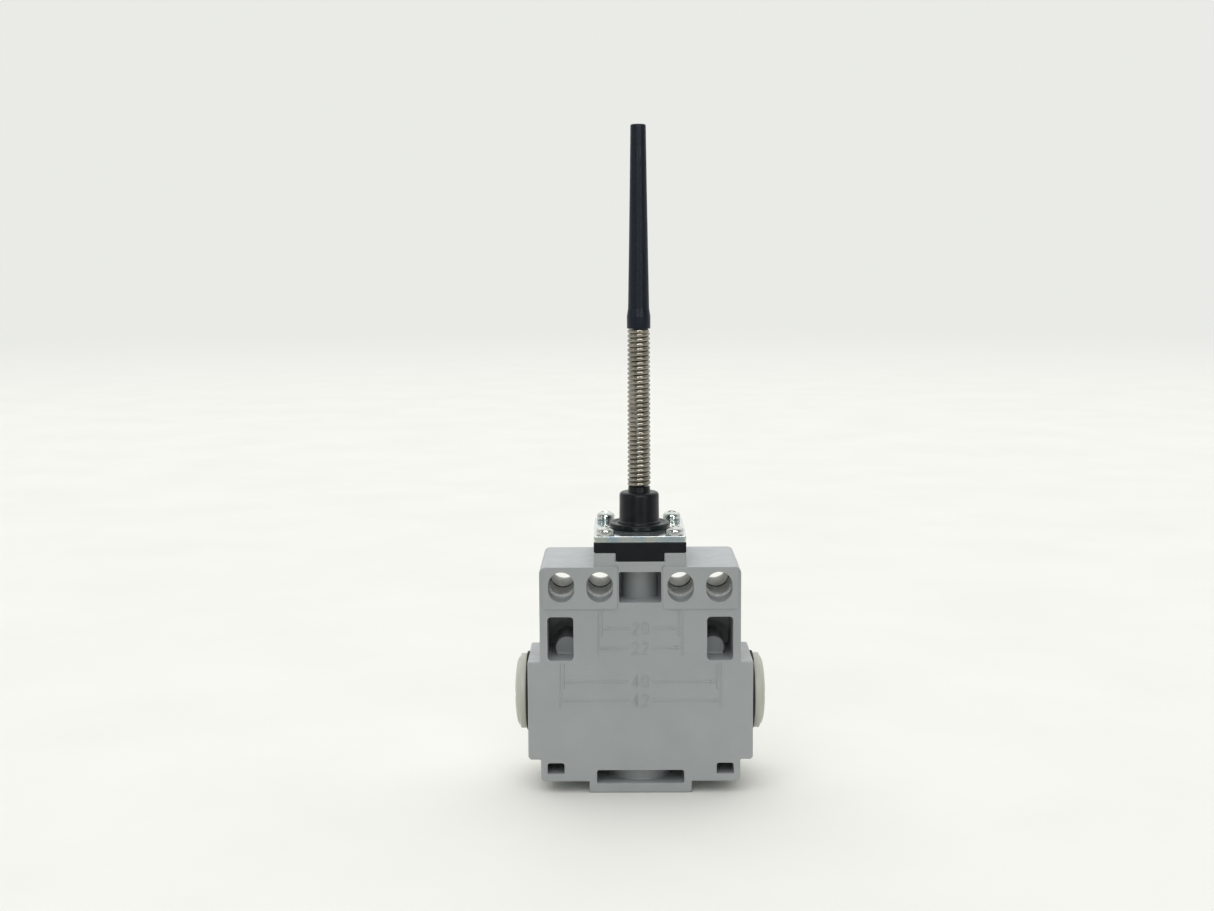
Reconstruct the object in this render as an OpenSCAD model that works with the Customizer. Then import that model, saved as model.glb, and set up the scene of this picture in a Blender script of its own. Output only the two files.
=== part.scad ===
// Compact limit switch with a spring-rod actuator head and two plugged side cable entries.
// Millimetres. +Z is up along the rod, +Y points to the front cover and -Y to the mounting face.
// The origin is on the rod's axis, at the bottom of the foot.

/* [Housing] */
// Width of the body above the cable entries
body_w = 52.4; // [52:0.1:54]
// Width of the block that holds the side cable entries
wide_w = 59.0; // [58:0.1:62]
// Depth of the body from the mounting face to the front
body_d = 28.8; // [28.6:0.1:29]
// Depth of the wide block
wide_d = 21.6; // [21.4:0.1:22]
// Width of the foot
foot_w = 27; // [26:0.5:30]
// Depth of the foot
foot_d = 24; // [22:0.5:26]
// Height of the raised pads on the mounting face
pad_h = 0.3; // [0.2:0.05:0.4]
// Thickness of the rear wall
rear_wall = 3.0; // [2.8:0.1:3.2]

/* [Mounting holes] */
// Distance between the centres of the inner pair
inner_pitch = 21; // [20.8:0.1:21.2]
// Distance between the centres of the outer pair
outer_pitch = 41; // [40.5:0.1:41.5]
// Clear diameter of each hole
mount_d = 6.8; // [6.4:0.1:6.9]
// Height of the hole centres above the foot
mount_z = 55.8; // [55.7:0.05:55.9]

/* [Head] */
// Width of the actuator head
head_w = 24; // [23.8:0.1:24.4]
// Thickness of the clamping plate
plate_t = 1.6; // [1.2:0.1:1.6]
// Distance between the head screws across the width
screw_x = 18; // [17.6:0.1:18.4]
// Distance between the head screws front to back
screw_y = 24; // [23.6:0.1:24.1]
// Outer diameter of the boot's barrel
boot_d = 10.4; // [10:0.1:11]

/* [Spring rod] */
// Height of the rod's tip above the foot
rod_top = 174.2; // [160:0.1:190]
// Number of turns of the coil spring
spring_turns = 34; // [30:1:36]
// Wire diameter of the coil spring
wire_d = 1.2; // [1.1:0.05:1.2]

/* [Cable entries] */
// Diameter of the head of each blanking plug
plug_d = 20; // [19.5:0.1:20.4]
// Bore of each side cable entry
entry_d = 16; // [15.5:0.1:16.2]

/* [Hidden] */
$fn = 72;
e = 0.01;
both_sides = [-1, 1];

// Levels of the housing, from the foot up
foot_h = 3.1;
wide_z = 9.0;
shoulder_z = 35.4;
body_top = 60.5;
collar_top = 64.2;

// Faces along Y
back_y = -body_d / 2;
front_y = body_d / 2;
rim_y = back_y + wide_d;
cavity_y = back_y + rear_wall;
cover_front = front_y + pad_h;

// Front cover and its gasket
gasket_t = 0.4;
cover_z = [4.4, 49.6];
cover_w = 51.6;
cover_back = rim_y + gasket_t;
cover_wall = 2.0;
cover_inside = [46.4, 10.9, 48.2];
cover_screw = [19.3, 37.3];
cover_screw_r = 1.5;
cover_head_r = 2.9;
cover_head_h = 1.7;
label_size = [24, 10, 0.3];
label_z = 23.5;

// Cavities behind the cover
block_room_w = 31;
block_room_top = 48.5;
wiring_w = 45;
wiring_z = [12.5, 33];

// Moulded pockets in the mounting face
pocket_x = [17.4, 24.2];
pocket_z = [35.7, 47.3];
pillar_r = 3.1;
pillar_back = -7.0;
hook_x = [20.0, 24.5];
hook_z = [5.15, 8.1];
slot_half = 11.5;
slot_z = [2.6, 6.2];
recess_half = 5.5;
recess_z = [51.1, 59.2];
pad_x = [5.9, 25.5];
pad_bottom = 49.4;

// Cable entries
entry_y = -3.6;
entry_z = 24.9;
seal_t = 0.55;
plug_rim = 1.7;
plug_dome = 1.55;
plug_shank = 6.5;
knockout_y = -3.0;
knockout_r = 7.0;
knockout_wall = 1.4;

// Mounting holes: rear relief, two bushes and a counterbore
bush_wall = 0.6;
relief_d = 4.0;
relief_drop = 1.2;
bush_seam = back_y + 13.3;
bush_gap = 0.6;
bush_front = back_y + 25.1;
counterbore_r = 3.9;
mount_xs = [-outer_pitch / 2, -inner_pitch / 2, inner_pitch / 2, outer_pitch / 2];

// Actuator head
plate_z = 66.95;
plate_top = plate_z + plate_t;
tongue_w = 12.5;
tongue_z = 61.94;
spigot_r = [7.3, 8.8];
spigot_z = 61.3;
socket_r = 9.0;
socket_z = 61.0;
neck_r = 5.5;
neck_floor = 53.5;
head_screw_r = 1.45;
head_screw_z = 60.95;

// Rocker: a ball in a ring, with a disc that presses the plunger
pivot_z = 66.5;
ball_r = 3.6;
run_gap = 0.05;
ring_r = 5.8;
ring_z = [65.05, 67.9];
disc_r = 5.2;
disc_z = [61.0, 61.8];
stem_r = 1.5;
stem_top = 86;
stem_collar = [78.75, 79.6];

// Spring rod
spring_z = [79.6, 121.4];
spring_r_low = 2.8;
spring_r_high = 3.0;
sleeve_r = 3.1;
core_r = 1.2;
core_spigot_r = 1.75;
core_z = [113.5, 171];

// Plunger
plunger_head = [59.75, 60.9];
plunger_r = 2.5;
plunger_bottom = 46.05;

// Contact block
case_w = 29.6;
case_z = [20, 48.2];
case_back = cavity_y;
case_front = 6.4;
case_wall = 1.6;
case_cover_t = 1.5;
carrier_w = 8;
carrier_d = 6;
carrier_z = [31.9, 46.0];
window_half = 1.9;
upper_window = [37.2, 40.05];
lower_window = [33.85, 36.0];
bridge_half = 8.2;
bridge_d = 3.4;
bridge_t = 0.8;
upper_bridge_z = 39.17;
lower_bridge_z = 33.9;
tip_x = 7.0;
tip_r = 0.9;
tip_h = 0.6;
strip_x = [5.8, 13.2];
strip_t = 0.8;
upper_strip_z = 41.2;
lower_strip_z = 30.3;
terminal_x = 9.6;
upper_terminal_z = 45.0;
lower_terminal_z = 26.9;
tab_half = 2.8;
terminal_r = 1.5;
case_screw = [11.6, 35.4];
case_screw_r = 1.3;
case_boss_r = 2.2;

housing_grey = [0.56, 0.58, 0.585];
cover_grey = [0.72, 0.73, 0.69];

// ---------- shared shapes ----------

// A box between two corners
module span(low, high) {
    translate(low)
        cube(high - low);
}

// A rectangle with round corners: r_low on the lower edge, r_high on the upper edge
module round_rect(w, z0, z1, r_low, r_high) {
    translate([-w / 2 + r_low, z0])
        square([w - 2 * r_low, r_low + e]);
    translate([-w / 2 + r_high, z1 - r_high - e])
        square([w - 2 * r_high, r_high + e]);
    translate([-w / 2, z0 + r_low])
        square([w, z1 - z0 - r_low - r_high]);
    for (s = both_sides) {
        translate([s * (w / 2 - r_low), z0 + r_low])
            circle(r_low);
        translate([s * (w / 2 - r_high), z1 - r_high])
            circle(r_high);
    }
}

// Extrudes an X-Z outline along Y
module along_y(y0, y1) {
    translate([0, y1, 0])
        rotate([90, 0, 0])
            linear_extrude(y1 - y0)
                children();
}

// A cylinder along Y
module rod_y(x, z, y0, y1, r) {
    translate([x, y0, z])
        rotate([-90, 0, 0])
            cylinder(h = y1 - y0, r = r);
}

// A cylinder along X, on the side given by s, from x0 outwards
module rod_x(s, y, z, x0, x1, r) {
    translate([s * x0, y, z])
        rotate([0, s * 90, 0])
            cylinder(h = x1 - x0, r = r);
}

// A cylinder along Z
module rod_z(x, y, z0, z1, r) {
    translate([x, y, z0])
        cylinder(h = z1 - z0, r = r);
}

// A ring turned about Z
module ring_z(z0, z1, r_in, r_out) {
    rotate_extrude()
        translate([r_in, z0])
            square([r_out - r_in, z1 - z0]);
}

// A closed solid in the outer form of a coil spring, with one rib for each turn
module coil(z0, z1, r_low, r_high, wire, turns) {
    pitch = (z1 - z0) / turns;
    rotate_extrude()
        for (i = [0 : turns - 1]) {
            mean_r = r_low + (r_high - r_low) * i / turns - wire / 2;
            translate([mean_r, z0 + pitch * (i + 0.5)])
                circle(r = wire / 2, $fn = 16);
            translate([mean_r - wire / 4, z0 + pitch * i])
                square([wire / 2, pitch + (i < turns - 1 ? e : 0)]);
        }
}

// A cross recess for a screwdriver, cut down from z
module cross_recess(z, depth, reach) {
    for (turn = [0, 90])
        rotate([0, 0, turn])
            translate([-reach, -0.35, z - depth])
                cube([2 * reach, 0.7, depth + 1]);
}

// ---------- housing and cover ----------

module body_outline() {
    round_rect(body_w, foot_h, body_top, 1.3, 1.8);
}

// Full depth above the cover, and as deep as the rim below it, with a pad behind each mounting hole
module body_block() {
    along_y(back_y, rim_y)
        body_outline();
    for (s = both_sides)
        along_y(back_y - pad_h, back_y + e) {
            translate([s * (pad_x[0] + pad_x[1]) / 2, 0])
                round_rect(pad_x[1] - pad_x[0], pad_bottom, body_top, 0.6, 1.4);
            translate([s * (pad_x[0] + 4) - 4, pad_bottom + 1])
                square([8, body_top - pad_bottom - 1]);
        }
    intersection() {
        along_y(back_y, front_y)
            body_outline();
        span([-body_w, back_y, cover_z[1] + 0.4], [body_w, front_y, body_top]);
    }
}

// The body narrows a little towards the front, as moulded
module body_plan() {
    draft = 0.4;
    polygon([[-body_w / 2, back_y - pad_h], [body_w / 2, back_y - pad_h],
        [body_w / 2 - draft, front_y], [-body_w / 2 + draft, front_y]]);
}

module housing_mass() {
    intersection() {
        body_block();
        linear_extrude(body_top + 1)
            body_plan();
    }
    along_y(back_y, rim_y)
        round_rect(wide_w, wide_z, shoulder_z, 1.0, 0.5);
    along_y(back_y, back_y + foot_d)
        translate([-foot_w / 2, 0])
            square([foot_w, foot_h + 1]);
    span([-head_w / 2, back_y, body_top - 1], [head_w / 2, front_y, collar_top]);
}

// Rear pocket beside the contact block, round a screw pillar
module rear_pocket(s) {
    pocket_floor = 2;
    ring_floor = 4.5;
    mid_x = s * (pocket_x[0] + pocket_x[1]) / 2;
    difference() {
        union() {
            along_y(back_y - 1, pocket_floor)
                translate([mid_x, 0])
                    round_rect(pocket_x[1] - pocket_x[0], pocket_z[0], pocket_z[1], 1, 1);
            intersection() {
                rod_y(s * cover_screw[0], cover_screw[1], 0, ring_floor, 5.4);
                along_y(0, ring_floor)
                    translate([mid_x, 0])
                        round_rect(pocket_x[1] - pocket_x[0], pocket_z[0], pocket_z[1], 1, 1);
            }
        }
        rod_y(s * cover_screw[0], cover_screw[1], pillar_back, ring_floor + 1, pillar_r);
    }
}

// Square recess above the contact block, round the back of the neck
module neck_recess() {
    wall_r = 4.8;
    wall_y = back_y + 5.05 + wall_r;
    difference() {
        along_y(back_y - 1, wall_y)
            round_rect(2 * recess_half, recess_z[0], recess_z[1], 0.4, 0.4);
        rod_z(0, wall_y, recess_z[0] - 1, recess_z[1] + 1, wall_r);
    }
}

// Slot in the foot, round the back of the lower cable entry
module foot_slot() {
    difference() {
        along_y(back_y - 1, knockout_y)
            round_rect(2 * slot_half, slot_z[0], slot_z[1], 0.3, 0.7);
        rod_z(0, knockout_y, 0, slot_z[1] + 1, knockout_r + knockout_wall);
    }
}

// One mounting hole: relief at the rear, bush seats and a counterbore at the front
module mount_hole(x) {
    r = mount_d / 2;
    rod_y(x, mount_z, back_y - 1, front_y + 1, r);
    rod_y(x, mount_z, back_y + relief_d, bush_front, r + bush_wall);
    rod_y(x, mount_z - relief_drop, back_y - 1, back_y + relief_d, r);
    span([x - r, back_y - 1, mount_z - relief_drop], [x + r, back_y + relief_d, mount_z]);
    rod_y(x, mount_z, bush_front, front_y + 1, counterbore_r);
}

// The bottom cable entry stays closed by a thin moulded web
module bottom_knockout() {
    rod_z(0, knockout_y, 1.7, wiring_z[0] + 1, knockout_r);
    rod_z(0, knockout_y, -1, 0.5, knockout_r);
}

module head_socket() {
    rod_z(0, 0, socket_z, collar_top + 1, socket_r);
    rod_z(0, 0, neck_floor, socket_z + e, neck_r);
    rod_z(0, 0, block_room_top - 1, neck_floor + e, plunger_r + run_gap);
    span([-tongue_w / 2, back_y - 1, tongue_z], [tongue_w / 2, -6, collar_top + 1]);
    for (sx = both_sides)
        for (sy = both_sides)
            rod_z(sx * screw_x / 2, sy * screw_y / 2, head_screw_z, collar_top + 1, head_screw_r);
}

module housing() {
    color(housing_grey)
        difference() {
            housing_mass();
            span([-block_room_w / 2, cavity_y, 13], [block_room_w / 2, rim_y + 1, block_room_top]);
            span([-wiring_w / 2, cavity_y, wiring_z[0]], [wiring_w / 2, rim_y + 1, wiring_z[1]]);
            head_socket();
            neck_recess();
            foot_slot();
            bottom_knockout();
            for (x = mount_xs)
                mount_hole(x);
            for (s = both_sides) {
                rear_pocket(s);
                rod_x(s, entry_y, entry_z, wiring_w / 2 - 1, wide_w / 2 + 1, entry_d / 2);
                rod_y(s * cover_screw[0], cover_screw[1], pillar_back + 1.5, rim_y + 1, cover_screw_r);
                rod_y(s * case_screw[0], case_screw[1], back_y + 1.2, cavity_y + 1, case_screw_r);
                translate([s * (hook_x[0] + hook_x[1]) / 2, 0, 0])
                    along_y(back_y - 1, rim_y + 1)
                        round_rect(hook_x[1] - hook_x[0], hook_z[0], hook_z[1], 0.3, 0.7);
            }
        }
}

// Cover shell, stepped in at the front so that its front edge reads as a soft round
module cover_shell() {
    edge = 1.5;
    steps = 3;
    along_y(cover_back, cover_front - edge)
        round_rect(cover_w, cover_z[0], cover_z[1], 2.5, 2.5);
    for (i = [0 : steps - 1]) {
        inset = edge * (1 - cos(90 * (i + 1) / steps)) * 0.8;
        along_y(cover_front - edge - e, cover_front - edge + edge * sin(90 * (i + 1) / steps))
            round_rect(cover_w - 2 * inset, cover_z[0] + inset, cover_z[1] - inset, 2.5, 2.5);
    }
}

module front_cover() {
    inside_front = cover_front - cover_wall;
    boss_r = 4.1;
    hook_gap = 0.3;
    color(cover_grey)
        difference() {
            union() {
                difference() {
                    cover_shell();
                    along_y(cover_back - 1, inside_front)
                        round_rect(cover_inside[0], cover_inside[1], cover_inside[2], 1, 1);
                }
                for (s = both_sides) {
                    rod_y(s * cover_screw[0], cover_screw[1], cover_back, inside_front + e, boss_r);
                    span([s * (hook_x[0] + hook_x[1]) / 2 - 1.95, -2, hook_z[0] + hook_gap],
                        [s * (hook_x[0] + hook_x[1]) / 2 + 1.95, cover_back + 1, hook_z[1] - hook_gap]);
                }
            }
            for (s = both_sides) {
                rod_y(s * cover_screw[0], cover_screw[1], cover_back - 1, cover_front + 1, 1.75);
                rod_y(s * cover_screw[0], cover_screw[1], cover_front - cover_head_h, cover_front + 1,
                    cover_head_r + 0.3);
            }
            along_y(cover_front - label_size[2], cover_front + 1)
                round_rect(label_size[0], label_z - label_size[1] / 2, label_z + label_size[1] / 2, 1, 1);
        }
}

module label_plate() {
    color([0.82, 0.83, 0.82])
        along_y(cover_front - label_size[2], cover_front - 0.05)
            round_rect(label_size[0] - 0.3, label_z - label_size[1] / 2 + 0.15,
                label_z + label_size[1] / 2 - 0.15, 0.9, 0.9);
}

module cover_gasket() {
    color([0.12, 0.12, 0.12])
        difference() {
            along_y(rim_y, cover_back)
                round_rect(cover_w - 0.8, 8.8, cover_z[1] - 0.3, 1.5, 2.2);
            along_y(rim_y - 1, cover_back + 1)
                round_rect(cover_inside[0], cover_inside[1], block_room_top + 0.2, 0.5, 0.5);
        }
}

module cover_screws() {
    color([0.72, 0.72, 0.7])
        for (s = both_sides)
            difference() {
                union() {
                    rod_y(s * cover_screw[0], cover_screw[1], cover_front - cover_head_h, cover_front - 0.1,
                        cover_head_r);
                    rod_y(s * cover_screw[0], cover_screw[1], pillar_back + 2, cover_front - cover_head_h + e,
                        cover_screw_r);
                }
                translate([s * cover_screw[0], cover_front, cover_screw[1]])
                    rotate([-90, 0, 0])
                        cross_recess(0, 1.0, 1.6);
            }
}

// ---------- mounting bushes ----------

module bush_row(y0, y1) {
    for (x = mount_xs)
        difference() {
            rod_y(x, mount_z, y0, y1, mount_d / 2 + bush_wall);
            rod_y(x, mount_z, y0 - 1, y1 + 1, mount_d / 2);
        }
}

module rear_bushes() {
    color([0.62, 0.62, 0.6])
        bush_row(back_y + relief_d, bush_seam - bush_gap / 2);
}

module front_bushes() {
    color(cover_grey)
        bush_row(bush_seam + bush_gap / 2, bush_front);
}

// ---------- cable entry plugs ----------

module blanking_plug(s) {
    seat_x = wide_w / 2 + seal_t;
    dome_r = (pow(plug_d / 2 - 0.6, 2) + pow(plug_dome, 2)) / (2 * plug_dome);
    color(cover_grey)
        difference() {
            union() {
                rod_x(s, entry_y, entry_z, seat_x, seat_x + plug_rim, plug_d / 2);
                intersection() {
                    rod_x(s, entry_y, entry_z, seat_x, seat_x + plug_rim + plug_dome, plug_d / 2 - 0.6);
                    translate([s * (seat_x + plug_rim + plug_dome - dome_r), entry_y, entry_z])
                        rotate([0, 90, 0])
                            sphere(dome_r);
                }
                rod_x(s, entry_y, entry_z, seat_x - plug_shank, seat_x + e, entry_d / 2);
            }
            rod_x(s, entry_y, entry_z, seat_x - plug_shank - 1, seat_x, entry_d / 2 - 1.6);
            translate([s * (seat_x + plug_rim + plug_dome), entry_y, entry_z])
                cube([2.0, 14, 1.8], center = true);
        }
}

module left_plug() {
    blanking_plug(-1);
}

module right_plug() {
    blanking_plug(1);
}

module plug_seal(s) {
    color([0.1, 0.1, 0.1])
        difference() {
            rod_x(s, entry_y, entry_z, wide_w / 2, wide_w / 2 + seal_t, plug_d / 2 + 0.5);
            rod_x(s, entry_y, entry_z, wide_w / 2 - 1, wide_w / 2 + seal_t + 1, entry_d / 2);
        }
}

module left_plug_seal() {
    plug_seal(-1);
}

module right_plug_seal() {
    plug_seal(1);
}

// ---------- actuator head ----------

// Places the children at the four head screws
module at_head_screws() {
    for (sx = both_sides)
        for (sy = both_sides)
            translate([sx * screw_x / 2, sy * screw_y / 2, 0])
                children();
}

module head_base() {
    boot_seat_r = 8.4;
    color([0.12, 0.13, 0.14])
        difference() {
            union() {
                span([-head_w / 2, back_y, collar_top], [head_w / 2, front_y, plate_z]);
                span([-tongue_w / 2, back_y, tongue_z], [tongue_w / 2, -8, collar_top + e]);
                rod_z(0, 0, spigot_z, collar_top + e, spigot_r[1]);
            }
            rod_z(0, 0, spigot_z - 1, collar_top + 0.1, spigot_r[0]);
            rod_z(0, 0, spigot_z, plate_z + 1, 5.0);
            rod_z(0, 0, ring_z[0] - run_gap, plate_z + 1, ring_r + run_gap);
            rod_z(0, 0, 66.0, plate_z + 1, boot_seat_r);
            ring_z(62.1, 63.1, spigot_r[1] - 0.8, spigot_r[1] + 0.25);
            at_head_screws()
                rod_z(0, 0, spigot_z, plate_z + 1, 1.6);
        }
}

module head_seal() {
    color([0.08, 0.08, 0.08])
        rotate_extrude()
            translate([8.5, 62.6])
                circle(0.45);
}

module head_plate() {
    corner_r = 0.6;
    color([0.68, 0.7, 0.7])
        difference() {
            translate([0, 0, plate_z])
                linear_extrude(plate_t)
                    round_rect(head_w, back_y, front_y, corner_r, corner_r);
            rod_z(0, 0, plate_z - 1, plate_top + 1, 7.0);
            at_head_screws()
                rod_z(0, 0, plate_z - 1, plate_top + 1, 1.6);
        }
}

module head_screws() {
    head_r = 2.4;
    head_h = 2.4;
    crown_h = 1.1;
    color([0.75, 0.75, 0.72])
        at_head_screws()
            difference() {
                union() {
                    rod_z(0, 0, plate_top, plate_top + head_h - crown_h, head_r);
                    translate([0, 0, plate_top + head_h - crown_h])
                        cylinder(h = crown_h, r1 = head_r, r2 = head_r - 1);
                    rod_z(0, 0, head_screw_z, plate_top + e, head_screw_r);
                }
                cross_recess(plate_top + head_h, 0.9, 1.5);
            }
}

module pivot_ring() {
    color([0.8, 0.78, 0.7])
        difference() {
            rod_z(0, 0, ring_z[0], ring_z[1], ring_r);
            translate([0, 0, pivot_z])
                sphere(ball_r + run_gap);
        }
}

// Rubber boot: a lower lip under the plate, a flange on the plate, a barrel and a neck
module boot() {
    lip_r = 8.3;
    flange_r = 8.05;
    flange_top = 70.1;
    barrel_r = boot_d / 2;
    barrel_top = 78.1;
    color([0.1, 0.11, 0.12])
        rotate_extrude()
            difference() {
                polygon([[ring_r, 66.05], [lip_r, 66.05], [lip_r, 66.9], [6.9, 66.9],
                    [6.9, plate_top + run_gap], [flange_r, plate_top + run_gap], [flange_r, flange_top],
                    [5.9, flange_top + 0.3], [barrel_r, flange_top + 0.7], [barrel_r, barrel_top - 1],
                    [barrel_r - 0.3, barrel_top - 0.3], [barrel_r - 1, barrel_top], [2.7, barrel_top],
                    [2.65, stem_collar[0] - run_gap], [stem_r + run_gap, stem_collar[0] - run_gap],
                    [stem_r + run_gap, 76.8], [4.1, 76.0], [4.1, 70.6], [ring_r, 69.4]]);
                translate([0, 60])
                    square([stem_r + run_gap, 20]);
            }
}

// Ball, stem and pressing disc in one turned piece
module rocker_stem() {
    color([0.6, 0.6, 0.58])
        union() {
            translate([0, 0, pivot_z])
                sphere(ball_r);
            rod_z(0, 0, disc_z[0], disc_z[1], disc_r);
            rod_z(0, 0, disc_z[0], pivot_z, 2.2);
            rod_z(0, 0, pivot_z, stem_top, stem_r);
            rod_z(0, 0, stem_collar[0], stem_collar[1], 2.62);
        }
}

module coil_spring() {
    color([0.55, 0.54, 0.5])
        coil(spring_z[0], spring_z[1], spring_r_low, spring_r_high, wire_d, spring_turns);
}

// Steel core of the rod, with a spigot that the top turns of the spring grip
module rod_core() {
    color([0.65, 0.65, 0.63])
        union() {
            rod_z(0, 0, core_z[0], core_z[1], core_r);
            rod_z(0, 0, core_z[0], spring_z[1], core_spigot_r);
        }
}

module rod_sleeve() {
    skirt_h = 3.2;
    cone_h = 2.1;
    length = rod_top - spring_z[1];
    color([0.13, 0.15, 0.17])
        translate([0, 0, spring_z[1]])
            rotate_extrude()
                difference() {
                    polygon([[0, 0], [sleeve_r, 0], [sleeve_r, skirt_h], [sleeve_r - 0.32, skirt_h + cone_h],
                        [sleeve_r - 0.4, 9.5], [sleeve_r - 0.66, 24], [sleeve_r - 0.9, 38.5],
                        [2.0, length - 0.5], [1.7, length], [0, length]]);
                    translate([0, -1])
                        square([core_r, core_z[1] - spring_z[1] + 1]);
                }
}

// ---------- plunger and contact block ----------

module plunger() {
    color([0.85, 0.83, 0.75])
        union() {
            rod_z(0, 0, plunger_head[0], plunger_head[1], disc_r);
            rod_z(0, 0, plunger_bottom, plunger_head[0] + e, plunger_r);
        }
}

module plunger_spring() {
    color([0.6, 0.6, 0.58])
        coil(neck_floor, plunger_head[0], 4.2, 4.2, 0.7, 5);
}

// Square room for a carrier window, through X
module window(z0, z1) {
    span([-carrier_w, -window_half, z0], [carrier_w, window_half, z1]);
}

module carrier() {
    color([0.75, 0.3, 0.2])
        difference() {
            span([-carrier_w / 2, -carrier_d / 2, carrier_z[0]], [carrier_w / 2, carrier_d / 2, carrier_z[1]]);
            window(upper_window[0], upper_window[1]);
            window(lower_window[0], lower_window[1]);
        }
}

module bridge_springs() {
    color([0.6, 0.6, 0.58]) {
        coil(upper_window[0], upper_bridge_z, 1.5, 1.5, 0.35, 3);
        coil(lower_bridge_z + bridge_t, lower_window[1], 1.5, 1.5, 0.35, 2);
    }
}

module moving_bridges() {
    color([0.72, 0.45, 0.25])
        for (bridge = [[upper_bridge_z, upper_bridge_z + bridge_t], [lower_bridge_z, lower_bridge_z - tip_h]]) {
            span([-bridge_half, -bridge_d / 2, bridge[0]], [bridge_half, bridge_d / 2, bridge[0] + bridge_t]);
            for (s = both_sides)
                rod_z(s * tip_x, 0, bridge[1] - e, bridge[1] + tip_h + e, tip_r);
        }
}

module carrier_spring() {
    color([0.6, 0.6, 0.58])
        coil(case_z[0] + case_wall, carrier_z[0], 2.4, 2.4, 0.5, 9);
}

// One fixed contact: a strip with a silver tip, and a tab in front for the terminal screw
module fixed_contact(s, strip_z, terminal_z) {
    tab_y = case_front + case_cover_t;
    upper = terminal_z > strip_z;
    x_mid = s * terminal_x;
    low_x = min(s * strip_x[0], s * strip_x[1]);
    tab_z = upper ? [strip_z, terminal_z + tab_half] : [terminal_z - tab_half, strip_z + strip_t];
    tip_z = upper ? strip_z - tip_h : strip_z + strip_t;
    difference() {
        union() {
            span([low_x, -bridge_d / 2, strip_z], [low_x + strip_x[1] - strip_x[0], tab_y + e, strip_z + strip_t]);
            span([x_mid - tab_half, tab_y, tab_z[0]], [x_mid + tab_half, tab_y + strip_t, tab_z[1]]);
            rod_z(s * tip_x, 0, tip_z - e, tip_z + tip_h + e, tip_r);
        }
        rod_y(x_mid, terminal_z, tab_y - 1, tab_y + 2, terminal_r);
    }
}

module fixed_contacts() {
    color([0.75, 0.5, 0.28])
        for (s = both_sides) {
            fixed_contact(s, upper_strip_z, upper_terminal_z);
            fixed_contact(s, lower_strip_z, lower_terminal_z);
        }
}

// Places the children at the four terminals
module at_terminals() {
    for (s = both_sides)
        for (z = [upper_terminal_z, lower_terminal_z])
            translate([s * terminal_x, 0, z])
                children();
}

module clamp_washers() {
    y0 = case_front + case_cover_t + strip_t;
    color([0.7, 0.7, 0.65])
        at_terminals()
            difference() {
                span([-2.6, y0, -2.6], [2.6, y0 + 0.8, 2.6]);
                rod_y(0, 0, y0 - 1, y0 + 2, terminal_r);
            }
}

module terminal_screws() {
    y0 = case_front + case_cover_t + strip_t + 0.8;
    color([0.75, 0.75, 0.72])
        at_terminals()
            difference() {
                union() {
                    rod_y(0, 0, y0, y0 + 1.8, 2.4);
                    rod_y(0, 0, case_front - 2, y0 + e, terminal_r);
                }
                translate([0, y0 + 1.8, 0])
                    rotate([-90, 0, 0])
                        cross_recess(0, 0.9, 1.5);
            }
}

module contact_case() {
    inner_w = strip_x[1] * 2;
    guide_gap = 0.3;
    guide_y = carrier_d / 2 + guide_gap;
    color([0.15, 0.15, 0.16])
        difference() {
            union() {
                difference() {
                    span([-case_w / 2, case_back, case_z[0]], [case_w / 2, case_front, case_z[1]]);
                    span([-inner_w / 2, case_back + case_wall, case_z[0] + case_wall],
                        [inner_w / 2, case_front + 1, case_z[1] - case_wall]);
                }
                for (s = both_sides)
                    rod_y(s * case_screw[0], case_screw[1], case_back, case_front, case_boss_r);
                span([-carrier_w / 2, case_back + 1, carrier_z[0]], [carrier_w / 2, -guide_y, case_z[1] - 1]);
                for (s = both_sides)
                    span([s * (carrier_w / 2 + guide_gap + 0.5) - 0.5, -guide_y - 1, 43.5],
                        [s * (carrier_w / 2 + guide_gap + 0.5) + 0.5, guide_y - 1, case_z[1] - 1]);
            }
            rod_z(0, 0, case_z[1] - 3, case_z[1] + 1, plunger_r + 0.4);
            for (s = both_sides)
                rod_y(s * case_screw[0], case_screw[1], case_back - 1, case_front + 1, case_screw_r);
        }
}

module contact_cover() {
    back = case_front;
    guide_y = carrier_d / 2 + 0.3;
    color([0.85, 0.86, 0.84])
        difference() {
            union() {
                span([-case_w / 2, back, case_z[0]], [case_w / 2, back + case_cover_t, case_z[1]]);
                span([-carrier_w / 2, guide_y, carrier_z[0]], [carrier_w / 2, back + e, case_z[1] - case_wall - 0.1]);
            }
            for (s = both_sides) {
                rod_y(s * case_screw[0], case_screw[1], back - 1, back + 3, case_screw_r);
                for (z = [upper_strip_z, lower_strip_z])
                    span([min(s * strip_x[0], s * strip_x[1]), back - 1, z],
                        [max(s * strip_x[0], s * strip_x[1]), back + 3, z + strip_t]);
            }
            at_terminals()
                rod_y(0, 0, back - 1, back + 3, terminal_r);
        }
}

module case_screws() {
    head_y = case_front + case_cover_t;
    color([0.75, 0.75, 0.72])
        for (s = both_sides)
            translate([s * case_screw[0], 0, case_screw[1]])
                difference() {
                    union() {
                        rod_y(0, 0, back_y + 1.4, head_y + e, case_screw_r);
                        rod_y(0, 0, head_y, head_y + 1.5, 2.3);
                    }
                    translate([0, head_y + 1.5, 0])
                        rotate([-90, 0, 0])
                            cross_recess(0, 0.8, 1.4);
                }
}

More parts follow.
